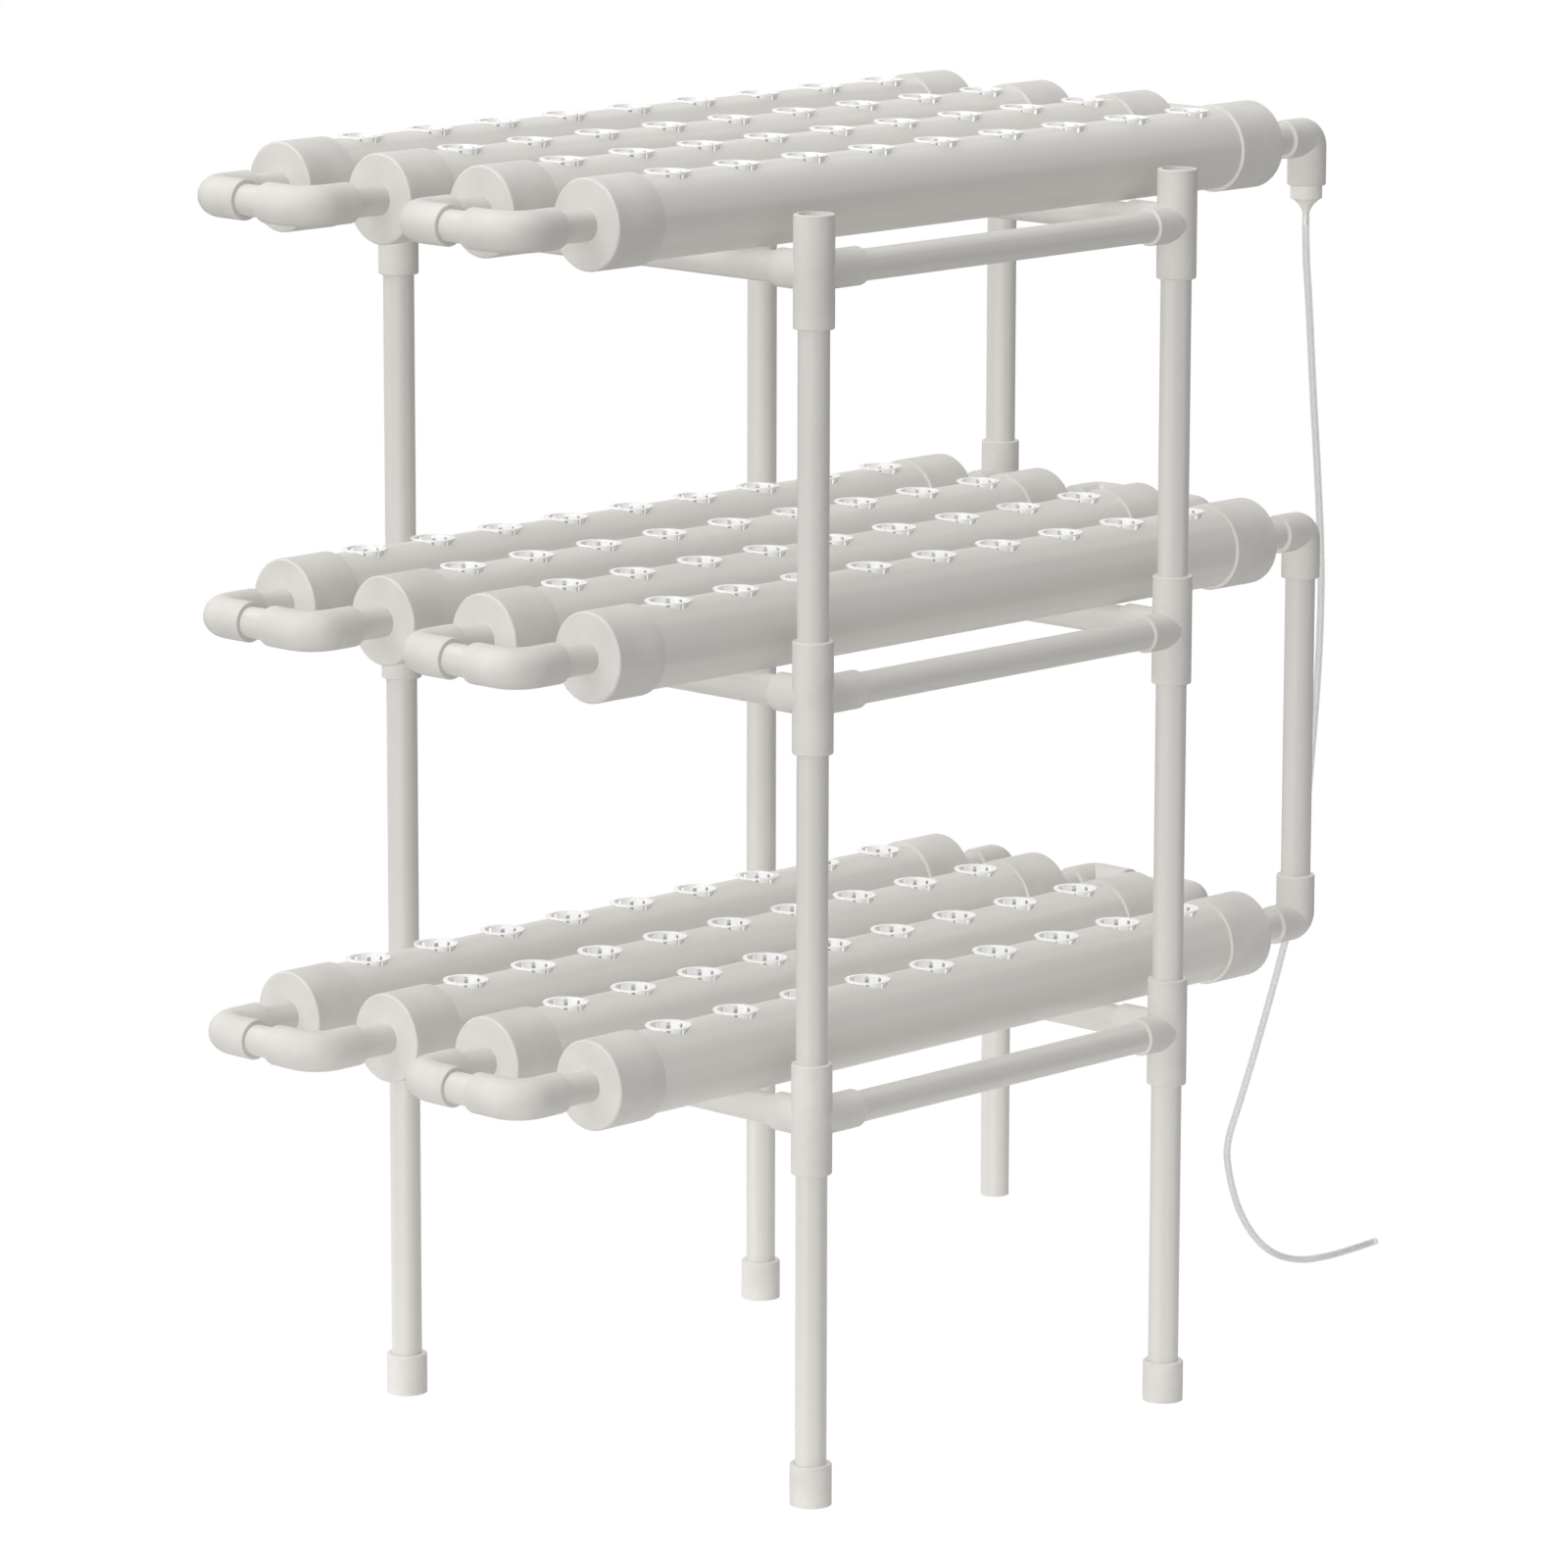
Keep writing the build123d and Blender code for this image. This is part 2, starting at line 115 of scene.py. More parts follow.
# %% Draw the route
HOSE_ROUTE = [
    (0.4585, -0.1650, 0.96245),
    (0.4585, -0.1650, 0.93242),
    (0.4630, -0.1660, 0.88796),
    (0.4755, -0.1610, 0.81510),
    (0.4915, -0.1550, 0.73445),
    (0.5075, -0.1475, 0.65466),
    (0.5195, -0.1365, 0.57911),
    (0.5295, -0.1230, 0.50452),
    (0.5390, -0.1080, 0.42916),
    (0.5475, -0.0900, 0.34754),
    (0.5490, -0.0690, 0.27978),
    (0.5500, -0.0495, 0.22069),
    (0.5495, -0.0295, 0.16111),
    (0.5485, -0.0150, 0.12079),
    (0.5545, -0.0125, 0.09538),
    (0.5665, -0.0130, 0.06044),
    (0.5810, -0.0185, 0.03301),
    (0.5970, -0.0290, 0.01405),
    (0.6285, -0.0340, 0.003225),
    (0.6545, -0.0415, 0.003225),
    (0.6895, -0.0415, 0.003225),
    (0.7280, -0.0385, 0.003225),
]
HOSE_DIAMETER = 0.00635
HOSE_BORE = 0.0043
ROUTE_STEPS = 12


def route_points(control_points, steps):
    """Points along a smooth line that its control points pull into shape.

    Each stretch of the line is a blend of three neighbouring control points, and the line
    starts and ends on the first and the last one.
    """
    curve_data = bpy.data.curves.new("hose_route", "CURVE")
    curve_data.dimensions = "3D"
    spline = curve_data.splines.new("NURBS")
    spline.points.add(len(control_points) - 1)
    flat = [number for point in control_points for number in (*point, 1.0)]
    spline.points.foreach_set("co", flat)
    spline.order_u = 3
    spline.use_endpoint_u = True
    spline.resolution_u = steps
    curve = bpy.data.objects.new("hose_route", curve_data)
    line = bpy.data.meshes.new_from_object(curve)
    points = np.empty(len(line.vertices) * 3)
    line.vertices.foreach_get("co", points)
    bpy.data.meshes.remove(line)
    bpy.data.objects.remove(curve)
    bpy.data.curves.remove(curve_data)
    return points.reshape(-1, 3)


hose_path = route_points(HOSE_ROUTE, ROUTE_STEPS)
path_length = float(np.linalg.norm(np.diff(hose_path, axis=0), axis=1).sum())
print("hose route:", len(hose_path), "points,", round(path_length, 4), "m long")

# %% [markdown]
# ## The wall of the hose
#
# A hose could be a curve with a round bevel, but that is a solid rod. This one is clear, so
# its bore shows. So the wall is worked out as one closed surface: a ring of points runs down
# the outside of the hose and back up the bore, and the two cut ends close by themselves where
# the rings turn round.

# %% Helpers for surfaces
def new_piece(name, points, faces, smooth=True):
    """A mesh object from an (n, 3) array of points and an (m, 4) array of corners."""
    mesh = bpy.data.meshes.new(name)
    mesh.from_pydata(points.tolist(), [], faces.tolist())
    mesh.polygons.foreach_set("use_smooth", [smooth] * len(mesh.polygons))
    mesh.update()
    piece = bpy.data.objects.new(name, mesh)
    bpy.context.scene.collection.objects.link(piece)
    return piece


def wrapped_faces(rows, columns):
    """Four-cornered faces of a grid that closes on itself both ways, like a ring's skin."""
    row, column = np.meshgrid(np.arange(rows), np.arange(columns), indexing="ij")
    next_row = (row + 1) % rows
    next_column = (column + 1) % columns
    corners = [
        row * columns + column,
        row * columns + next_column,
        next_row * columns + next_column,
        next_row * columns + column,
    ]
    return np.stack(corners, axis=-1).reshape(-1, 4)


# %% Build the hose
HOSE_SIDES = 24
HOSE_LEVEL_DIRECTION = np.array([0.0, 1.0, 0.0])


def hose_wall(path, outer, inner, sides):
    """Points of a tube with a bore, carried along a path.

    At each point of the path, two directions square to its run make a flat frame. A ring
    is the path's point plus outer times (cos angle, sin angle) in that frame. The rings
    of the bore follow in the opposite order, so the grid closes on itself.
    """
    run = np.gradient(path, axis=0)
    run /= np.linalg.norm(run, axis=1, keepdims=True)
    side = np.cross(run, HOSE_LEVEL_DIRECTION)
    side /= np.linalg.norm(side, axis=1, keepdims=True)
    front = np.cross(side, run)
    angle = np.arange(sides) * 2 * np.pi / sides
    spokes = np.cos(angle)[None, :, None] * side[:, None, :]
    spokes = spokes + np.sin(angle)[None, :, None] * front[:, None, :]
    outside = path[:, None, :] + outer * spokes
    bore = path[:, None, :] + inner * spokes
    return np.concatenate([outside, bore[::-1]]).reshape(-1, 3)


hose_points = hose_wall(hose_path, HOSE_DIAMETER / 2, HOSE_BORE / 2, HOSE_SIDES)
hose = new_piece("clear_hose", hose_points, wrapped_faces(2 * len(hose_path), HOSE_SIDES))
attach(hose, "rack")
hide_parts("supply_hose")
print("hose faces:", len(hose.data.polygons))

# %% [markdown]
# ## Effects that several finishes share
#
# All the hard pieces are PVC, but they are made in two ways. Pipe and tube are pushed
# through a die, which leaves very faint lines along their length. Tees, elbows and caps
# are moulded, which leaves a fine even grain. Both gather a little pale dust on top.
#
# Each of these effects is a node group: a small machine with named inputs, built once and
# then placed in every material that needs it, with that material's own values.

# %% Helpers for node groups and materials
def new_group(name, inputs, outputs):
    """An empty node group. inputs is a list of (name, kind, start value)."""
    group = bpy.data.node_groups.new(name, "ShaderNodeTree")
    for socket_name, kind, value in inputs:
        socket = group.interface.new_socket(socket_name, in_out="INPUT", socket_type=kind)
        if value is not None:
            socket.default_value = value
    for socket_name, kind in outputs:
        group.interface.new_socket(socket_name, in_out="OUTPUT", socket_type=kind)
    return group, group.nodes.new("NodeGroupInput"), group.nodes.new("NodeGroupOutput")


def math_node(tree, operation, first, second):
    """One sum on two values. Each is a number or the socket that it comes from."""
    node = tree.nodes.new("ShaderNodeMath")
    node.operation = operation
    for socket, value in zip(node.inputs, (first, second)):
        if isinstance(value, (int, float)):
            socket.default_value = value
        else:
            tree.links.new(value, socket)
    return node.outputs["Value"]


def noise_node(tree, vector, scale, detail, roughness=0.5):
    """A cloud of soft values round one half, read at the given coordinates."""
    node = tree.nodes.new("ShaderNodeTexNoise")
    node.inputs["Detail"].default_value = detail
    node.inputs["Roughness"].default_value = roughness
    tree.links.new(vector, node.inputs["Vector"])
    if isinstance(scale, (int, float)):
        node.inputs["Scale"].default_value = scale
    else:
        tree.links.new(scale, node.inputs["Scale"])
    return node.outputs[0]


# %% Lines left by the die
BROAD_BAND_SHARE = 0.16


def make_die_lines():
    """Faint lines along a tube, from coordinates that are squeezed along its length.

    Tone is a broad soft band pattern and Height the fine ridges. Both are noise: squeezed
    coordinates hardly change along the tube, so every spot of the noise becomes a line.
    """
    group, start, end = new_group(
        "die_lines",
        [
            ("Squeezed Vector", "NodeSocketVector", None),
            ("Lines", "NodeSocketFloat", 420.0),
        ],
        [("Tone", "NodeSocketFloat"), ("Height", "NodeSocketFloat")],
    )
    vector = start.outputs["Squeezed Vector"]
    broad_scale = math_node(group, "MULTIPLY", start.outputs["Lines"], BROAD_BAND_SHARE)
    broad = noise_node(group, vector, broad_scale, detail=2.0)
    fine = noise_node(group, vector, start.outputs["Lines"], detail=3.0, roughness=0.65)
    group.links.new(broad, end.inputs["Tone"])
    group.links.new(fine, end.inputs["Height"])
    return group


die_lines = make_die_lines()
print("node group:", die_lines.name)


# %% Grain left by the mould
def make_mould_grain():
    """An even fine grain with slow clouds in it.

    Height is fine noise of one grain size. Tone is slow noise, a few clouds on a fitting.
    """
    group, start, end = new_group(
        "mould_grain",
        [
            ("Vector", "NodeSocketVector", None),
            ("Grains", "NodeSocketFloat", 1500.0),
            ("Clouds", "NodeSocketFloat", 26.0),
        ],
        [("Tone", "NodeSocketFloat"), ("Height", "NodeSocketFloat")],
    )
    vector = start.outputs["Vector"]
    fine = noise_node(group, vector, start.outputs["Grains"], detail=2.0)
    slow = noise_node(group, vector, start.outputs["Clouds"], detail=3.0)
    group.links.new(slow, end.inputs["Tone"])
    group.links.new(fine, end.inputs["Height"])
    return group


mould_grain = make_mould_grain()
print("node group:", mould_grain.name)


# %% Dust that settles on top
DUST_SLOPE = 0.5
DUST_PATCHES = 55.0


def make_settled_dust():
    """A mask of where dust settles: surfaces that face up, in uneven patches.

    The mask is the upward part of the surface direction, from a half to one, times a
    patch noise, times the amount.
    """
    group, start, end = new_group(
        "settled_dust",
        [
            ("Vector", "NodeSocketVector", None),
            ("Normal", "NodeSocketVector", None),
            ("Amount", "NodeSocketFloat", 0.5),
        ],
        [("Mask", "NodeSocketFloat")],
    )
    split = group.nodes.new("ShaderNodeSeparateXYZ")
    group.links.new(start.outputs["Normal"], split.inputs["Vector"])
    upward = group.nodes.new("ShaderNodeMapRange")
    upward.inputs["From Min"].default_value = DUST_SLOPE
    upward.inputs["From Max"].default_value = 1.0
    group.links.new(split.outputs["Z"], upward.inputs["Value"])
    vector = start.outputs["Vector"]
    patches = noise_node(group, vector, DUST_PATCHES, detail=5.0, roughness=0.7)
    patchy = math_node(group, "MULTIPLY", upward.outputs["Result"], patches)
    amount = math_node(group, "MULTIPLY", patchy, start.outputs["Amount"])
    group.links.new(amount, end.inputs["Mask"])
    return group


settled_dust = make_settled_dust()
print("node group:", settled_dust.name)

# %% [markdown]
# ## Painted shade and glow inside a pipe
#
# A white pipe lets some daylight through its wall, so what shows through the slots of a cup is
# a mid grey, not black. Letting light really pass through every wall would be slow. Instead
# the inner wall is given painted shade, a darker colour for the shade inside the pipe that the
# shadowless lamps don't cast, and a painted glow, a weak light of its own for the daylight
# through the wall. The group finds the inner wall by its distance to the axis of the nearest
# pipe of a bed.

# %% Mask of a pipe's inside
def make_inside_of_pipe():
    """A mask that is 1 nearer to a pipe's axis than a radius, and 0 outside.

    The rows are evenly spaced, so the nearest row's number is the sideways distance from
    the first row, over the pitch, rounded. The rest of that distance and the height above
    the axis give the distance to the axis by Pythagoras.
    """
    group, start, end = new_group(
        "inside_of_pipe",
        [
            ("Vector", "NodeSocketVector", None),
            ("First Row", "NodeSocketFloat", 0.0),
            ("Pitch", "NodeSocketFloat", 0.1),
            ("Axis Height", "NodeSocketFloat", 0.0),
            ("Radius", "NodeSocketFloat", 0.03),
        ],
        [("Mask", "NodeSocketFloat")],
    )
    split = group.nodes.new("ShaderNodeSeparateXYZ")
    group.links.new(start.outputs["Vector"], split.inputs["Vector"])
    pitch = start.outputs["Pitch"]
    sideways = math_node(group, "SUBTRACT", split.outputs["Y"], start.outputs["First Row"])
    row = math_node(group, "ROUND", math_node(group, "DIVIDE", sideways, pitch), 0.0)
    aside = math_node(group, "SUBTRACT", sideways, math_node(group, "MULTIPLY", row, pitch))
    above = math_node(group, "SUBTRACT", split.outputs["Z"], start.outputs["Axis Height"])
    squares = math_node(
        group,
        "ADD",
        math_node(group, "MULTIPLY", aside, aside),
        math_node(group, "MULTIPLY", above, above),
    )
    away = math_node(group, "SQRT", squares, 0.0)
    inside = math_node(group, "LESS_THAN", away, start.outputs["Radius"])
    group.links.new(inside, end.inputs["Mask"])
    return group


inside_of_pipe = make_inside_of_pipe()
print("node group:", inside_of_pipe.name)

# %% [markdown]
# ## The PVC finishes
#
# Plain PVC is a soft warm grey-white with a dull shine. The colour is the same all over, but
# a real piece is never quite even: the lines, the grain and the dust each shift it by a few
# percent. They also shift how rough the surface is, and a Bump node turns their height into
# tiny slopes that break the shine up.

# %% The one recipe for a PVC finish
PVC_COLOUR = (0.600, 0.582, 0.556)
PIPE_COLOUR = (0.645, 0.626, 0.598)
DUST_COLOUR = (0.700, 0.685, 0.655)
PVC_DARKER = 0.93
PVC_LIGHTER = 1.05
DUST_AMOUNT = 0.35
ROUGHNESS_SWING = 0.04
NOISE_LOW, NOISE_HIGH = 0.3, 0.7


def shade_of(colour, share):
    """A colour with each part multiplied by a share."""
    return tuple(part * share for part in colour) + (1.0,)


def start_material(name):
    """A material with only a Principled shader, and the tree and shader to build on."""
    material = bpy.data.materials.new(name)
    material.use_nodes = True
    tree = material.node_tree
    tree.nodes.clear()
    output = tree.nodes.new("ShaderNodeOutputMaterial")
    shader = tree.nodes.new("ShaderNodeBsdfPrincipled")
    tree.links.new(shader.outputs["BSDF"], output.inputs["Surface"])
    return material, tree, shader


def place_group(tree, group, **values):
    """Puts a node group in a material. A value is a number or a socket."""
    node = tree.nodes.new("ShaderNodeGroup")
    node.node_tree = group
    for name, value in values.items():
        socket = node.inputs[name.replace("_", " ")]
        if isinstance(value, (int, float)):
            socket.default_value = value
        else:
            tree.links.new(value, socket)
    return node


def mix_colours(tree, mask, first, second):
    """One colour shading into another as the mask goes from 0 to 1."""
    node = tree.nodes.new("ShaderNodeMix")
    node.data_type = "RGBA"
    tree.links.new(mask, node.inputs["Factor"])
    for socket, value in ((node.inputs[6], first), (node.inputs[7], second)):
        if isinstance(value, tuple):
            socket.default_value = value
        else:
            tree.links.new(value, socket)
    return node.outputs[2]


def spread(tree, value, low, high):
    """Stretches the middle of a noise, where most of its values lie, over low to high."""
    node = tree.nodes.new("ShaderNodeMapRange")
    node.inputs["From Min"].default_value = NOISE_LOW
    node.inputs["From Max"].default_value = NOISE_HIGH
    node.inputs["To Min"].default_value = low
    node.inputs["To Max"].default_value = high
    tree.links.new(value, node.inputs["Value"])
    return node.outputs["Result"]


def finish_pvc(name, colour, roughness, pattern, squeeze, pattern_values, bump):
    """A PVC material: base colour, pattern of its making, dust, roughness and bump."""
    material, tree, shader = start_material(name)
    place = tree.nodes.new("ShaderNodeTexCoord")
    mapping = tree.nodes.new("ShaderNodeMapping")
    mapping.inputs["Scale"].default_value = squeeze
    tree.links.new(place.outputs["Object"], mapping.inputs["Vector"])
    geometry = tree.nodes.new("ShaderNodeNewGeometry")
    made = place_group(tree, pattern, **pattern_values)
    tree.links.new(mapping.outputs["Vector"], made.inputs[0])
    dust = place_group(
        tree,
        settled_dust,
        Vector=place.outputs["Object"],
        Normal=geometry.outputs["Normal"],
        Amount=DUST_AMOUNT,
    )
    tone = spread(tree, made.outputs["Tone"], 0.0, 1.0)
    dark, light = shade_of(colour, PVC_DARKER), shade_of(colour, PVC_LIGHTER)
    plain = mix_colours(tree, tone, dark, light)
    dusty = mix_colours(tree, dust.outputs["Mask"], plain, shade_of(DUST_COLOUR, 1.0))
    tree.links.new(dusty, shader.inputs["Base Color"])
    smoothest, roughest = roughness - ROUGHNESS_SWING, roughness + ROUGHNESS_SWING
    dull = spread(tree, made.outputs["Tone"], smoothest, roughest)
    duller = math_node(tree, "ADD", dull, dust.outputs["Mask"])
    tree.links.new(duller, shader.inputs["Roughness"])
    relief = tree.nodes.new("ShaderNodeBump")
    relief.inputs["Strength"].default_value = 1.0
    relief.inputs["Distance"].default_value = bump
    tree.links.new(made.outputs["Height"], relief.inputs["Height"])
    tree.links.new(relief.outputs["Normal"], shader.inputs["Normal"])
    return material


# %% Tube and pipe, one finish for each direction they run in
RUN_SQUEEZE = {"x": (0.006, 1.0, 1.0), "y": (1.0, 0.006, 1.0), "z": (1.0, 1.0, 0.006)}
FRAME_TUBE_RUNS = {"leg_tubes": "z", "rails": "x", "cross_tubes": "y", "pipe_stubs": "x"}
FRAME_TUBE_RUNS |= {"link_tubes": "y", "drop_tube": "z", "drain_tube": "z"}
DIE_BUMP = 0.00006
TUBE_ROUGHNESS = 0.36
TUBE_LINES = {"Lines": 620.0}

tube_finish = {
    run: finish_pvc(
        f"frame_tube_along_{run}",
        PVC_COLOUR,
        TUBE_ROUGHNESS,
        die_lines,
        squeeze,
        TUBE_LINES,
        DIE_BUMP,
    )
    for run, squeeze in RUN_SQUEEZE.items()
}
print("tube finishes:", sorted(m.name for m in tube_finish.values()))

# %% Pipe, one finish for each bed, with painted shade and a painted glow on the inner wall
LEVELS = ("low", "mid", "top")
PIPE_ROUGHNESS = 0.40
PIPE_LINES = {"Lines": 420.0}
# Painted shade and a painted glow for the inner wall: a darker colour for the shade inside a
# pipe, and a weak light of its own for the daylight through the wall.
INNER_WALL_PAINTED_GLOW = (0.21, 0.21, 0.206, 1.0)
NO_GLOW = (0.0, 0.0, 0.0, 1.0)
INNER_WALL_PAINTED_SHADE = (0.16, 0.155, 0.150, 1.0)
INNER_WALL_SHARE = 0.97


def finish_pipe(level):
    """The extruded finish, with painted shade and a painted glow on the inner walls of one bed's
    pipes.
    """
    material = finish_pvc(
        f"grow_pipe_{level}",
        PIPE_COLOUR,
        PIPE_ROUGHNESS,
        die_lines,
        RUN_SQUEEZE["x"],
        PIPE_LINES,
        DIE_BUMP,
    )
    first, second = (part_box(f"grow_pipe_{level}_{row}") for row in (1, 2))
    middle = (np.array(first[0]) + np.array(first[1])) / 2
    step = (np.array(second[0]) + np.array(second[1])) / 2 - middle
    outer_radius = (first[1][2] - first[0][2]) / 2
    tree = material.node_tree
    shader = tree.nodes["Principled BSDF"]
    place = tree.nodes.new("ShaderNodeTexCoord")
    inside = place_group(
        tree,
        inside_of_pipe,
        Vector=place.outputs["Object"],
        First_Row=float(middle[1]),
        Pitch=float(abs(step[1])),
        Axis_Height=float(middle[2]),
        Radius=float(outer_radius) * INNER_WALL_SHARE,
    )
    outer_colour = shader.inputs["Base Color"].links[0].from_socket
    # Painted shade on the inner wall, then a painted glow in its Emission Color.
    wall_colour_with_painted_shade = mix_colours(tree, inside.outputs["Mask"], outer_colour, INNER_WALL_PAINTED_SHADE)
    tree.links.new(wall_colour_with_painted_shade, shader.inputs["Base Color"])
    glow = mix_colours(tree, inside.outputs["Mask"], NO_GLOW, INNER_WALL_PAINTED_GLOW)
    tree.links.new(glow, shader.inputs["Emission Color"])
    shader.inputs["Emission Strength"].default_value = 1.0
    return material


pipe_finish = {level: finish_pipe(level) for level in LEVELS}
print("pipe finishes:", sorted(m.name for m in pipe_finish.values()))

# %% Fittings out of a mould
MOULD_BUMP = 0.00005
EVEN = (1.0, 1.0, 1.0)
IVORY_COLOUR = (0.730, 0.711, 0.655)
FITTING_ROUGHNESS, FITTING_GRAINS = 0.52, {"Grains": 1500.0}
CAP_ROUGHNESS, CAP_GRAINS = 0.50, {"Grains": 1100.0}
REDUCER_ROUGHNESS, REDUCER_GRAINS = 0.34, {"Grains": 1800.0}
FITTING_SHINE = 0.3


def finish_moulded(name, colour, roughness, grains):
    """The PVC recipe with the mould's even grain."""
    return finish_pvc(name, colour, roughness, mould_grain, EVEN, grains, MOULD_BUMP)


fitting_finish = finish_moulded("moulded_fitting", PVC_COLOUR, FITTING_ROUGHNESS, FITTING_GRAINS)
fitting_shader = fitting_finish.node_tree.nodes["Principled BSDF"]
fitting_shader.inputs["Specular IOR Level"].default_value = FITTING_SHINE
cap_finish = finish_moulded("moulded_cap", PVC_COLOUR, CAP_ROUGHNESS, CAP_GRAINS)
reducer_finish = finish_moulded(
    "moulded_reducer", IVORY_COLOUR, REDUCER_ROUGHNESS, REDUCER_GRAINS
)
print("moulded finishes:", fitting_finish.name, cap_finish.name, reducer_finish.name)

# %% [markdown]
# ## The barb in the hose
#
# The reducer ends in a barb that the hose is pushed over. The round clear hose gathers light
# on it, and that light is painted: the barb is given a much whiter colour than the reducer's
# body. One material can hold both: a mask on the height above the floor tells the barb from the
# body.

# %% Painted light on the barb
# Painted light: a much whiter colour for the light that the clear hose gathers on the barb.
BARB_PAINTED_LIGHT = (0.95, 0.95, 0.91, 1.0)


def paint_light_on_barb(material, top):
    """Mixes the barb's painted light colour in wherever the height is less than the hose's top.
    """
    tree = material.node_tree
    shader = tree.nodes["Principled BSDF"]
    place = tree.nodes.new("ShaderNodeTexCoord")
    split = tree.nodes.new("ShaderNodeSeparateXYZ")
    tree.links.new(place.outputs["Object"], split.inputs["Vector"])
    below = math_node(tree, "LESS_THAN", split.outputs["Z"], top)
    body_colour = shader.inputs["Base Color"].links[0].from_socket
    # The painted light colour replaces the body colour below the hose's top.
    barb_painted_light_colour = mix_colours(tree, below, body_colour, BARB_PAINTED_LIGHT)
    tree.links.new(barb_painted_light_colour, shader.inputs["Base Color"])


hose_top = HOSE_ROUTE[0][2]
paint_light_on_barb(reducer_finish, hose_top)
print("the barb is whiter below", hose_top, "m")

# %% [markdown]
# ## The net cups
#
# The cups are thin polypropylene, whiter and glossier than the pipes, so the base colour is
# lighter and the roughness lower. A thin clear coat gives the sparkle along the rims.

# %% Cup plastic
CUP_COLOUR = (0.87, 0.87, 0.862)
CUP_DARKER = 0.94
CUP_SMOOTHEST, CUP_ROUGHEST = 0.16, 0.24
CUP_GRAINS, CUP_CLOUDS = 1800.0, 110.0
CUP_COAT, CUP_COAT_ROUGHNESS = 0.2, 0.08
CUP_BUMP = 0.00002


def finish_cup(name, colour):
    """White polypropylene: bright, glossy, with faint clouds in the wall's thickness."""
    material, tree, shader = start_material(name)
    place = tree.nodes.new("ShaderNodeTexCoord")
    made = place_group(
        tree, mould_grain, Vector=place.outputs["Object"], Grains=CUP_GRAINS, Clouds=CUP_CLOUDS
    )
    tone = spread(tree, made.outputs["Tone"], 0.0, 1.0)
    cloudy = mix_colours(tree, tone, shade_of(colour, CUP_DARKER), shade_of(colour, 1.0))
    tree.links.new(cloudy, shader.inputs["Base Color"])
    dull = spread(tree, made.outputs["Tone"], CUP_SMOOTHEST, CUP_ROUGHEST)
    tree.links.new(dull, shader.inputs["Roughness"])
    shader.inputs["Coat Weight"].default_value = CUP_COAT
    shader.inputs["Coat Roughness"].default_value = CUP_COAT_ROUGHNESS
    relief = tree.nodes.new("ShaderNodeBump")
    relief.inputs["Distance"].default_value = CUP_BUMP
    tree.links.new(made.outputs["Height"], relief.inputs["Height"])
    tree.links.new(relief.outputs["Normal"], shader.inputs["Normal"])
    return material


cup_finish = finish_cup("cup_plastic_white", CUP_COLOUR)
print("cup finish:", cup_finish.name)

# %% [markdown]
# ## The clear hose
# Soft vinyl is clear but a little cloudy. Near the edges of the hose the view goes through
# much more plastic, so the edges look darker than the middle. Alpha lets most of the light
# straight through each of the four surfaces that a view line crosses. Layer Weight gives the
# angle between the view and the surface, and it darkens the colour towards the edges. That
# darker edge colour is partly the longer path through the vinyl and partly a painted
# refraction: it stands in for the darker surroundings that the round wall bends into view.

# %% Hose vinyl
HOSE_MIDDLE = (0.570, 0.575, 0.575, 1.0)
# The edge colour is partly the longer path through the vinyl and partly a painted refraction of
# darker surroundings.
HOSE_EDGE = (0.100, 0.103, 0.103, 1.0)
HOSE_ALPHA = 0.31
HOSE_ROUGHNESS = 0.15
HOSE_EDGE_BLEND = 0.4


def finish_hose(name):
    """Clear vinyl: see-through, with a colour that darkens towards the edges, partly for the
    thicker vinyl and partly as painted refraction.
    """
    material, tree, shader = start_material(name)
    glance = tree.nodes.new("ShaderNodeLayerWeight")
    glance.inputs["Blend"].default_value = HOSE_EDGE_BLEND
    # Darker towards the edges: partly thicker vinyl, partly painted refraction.
    edge_tint_and_refraction = mix_colours(tree, glance.outputs["Facing"], HOSE_MIDDLE, HOSE_EDGE)
    tree.links.new(edge_tint_and_refraction, shader.inputs["Base Color"])
    shader.inputs["Roughness"].default_value = HOSE_ROUGHNESS
    shader.inputs["Alpha"].default_value = HOSE_ALPHA
    return material


hose_finish = finish_hose("hose_vinyl_clear")
hose.data.materials.append(hose_finish)
print("hose finish:", hose_finish.name)

# %% [markdown]
# ## Giving every piece its finish
#
# A node's name says what it is, so a short table from the start of the name to the finish
# is enough. Assigning to the object's own material slot leaves the mesh as it came.

# %% Assign the finishes
NAME_TO_FINISH = {start: tube_finish[run] for start, run in FRAME_TUBE_RUNS.items()}
NAME_TO_FINISH |= {f"grow_pipe_{level}": finish for level, finish in pipe_finish.items()}
NAME_TO_FINISH |= {"net_cups": cup_finish, "end_caps": cap_finish}
NAME_TO_FINISH |= {"corner_tees": fitting_finish, "elbows": fitting_finish}
NAME_TO_FINISH |= {"foot_caps": fitting_finish, "inlet_reducer": reducer_finish}


def finish_for(node_name):
    """The finish whose table entry starts the node's name, or None."""
    found = [finish for start, finish in NAME_TO_FINISH.items() if node_name.startswith(start)]
    return found[0] if found else None


unfinished = []
for node_name, node in nodes.items():
    finish = finish_for(node_name)
    if finish is None:
        unfinished.append(node_name)
        continue
    for slot in node.material_slots:
        slot.link = "OBJECT"
        slot.material = finish
print("pieces left without a finish:", unfinished)

# %% [markdown]
# ## The studio
#
# The photograph is a cut-out on white: no floor line and no cast shadow. Two broad lamps
# without shadows, one from the left and one from above, light the whole rack evenly. The
# world fills in the rest. It is brighter behind the rack than behind the camera, like a lit
# backdrop. The floor's colour is a painted pool of light: pale near the rack and darker
# further off, so the undersides get soft light from below. Rays that come straight from the
# camera see the floor and the world as white.

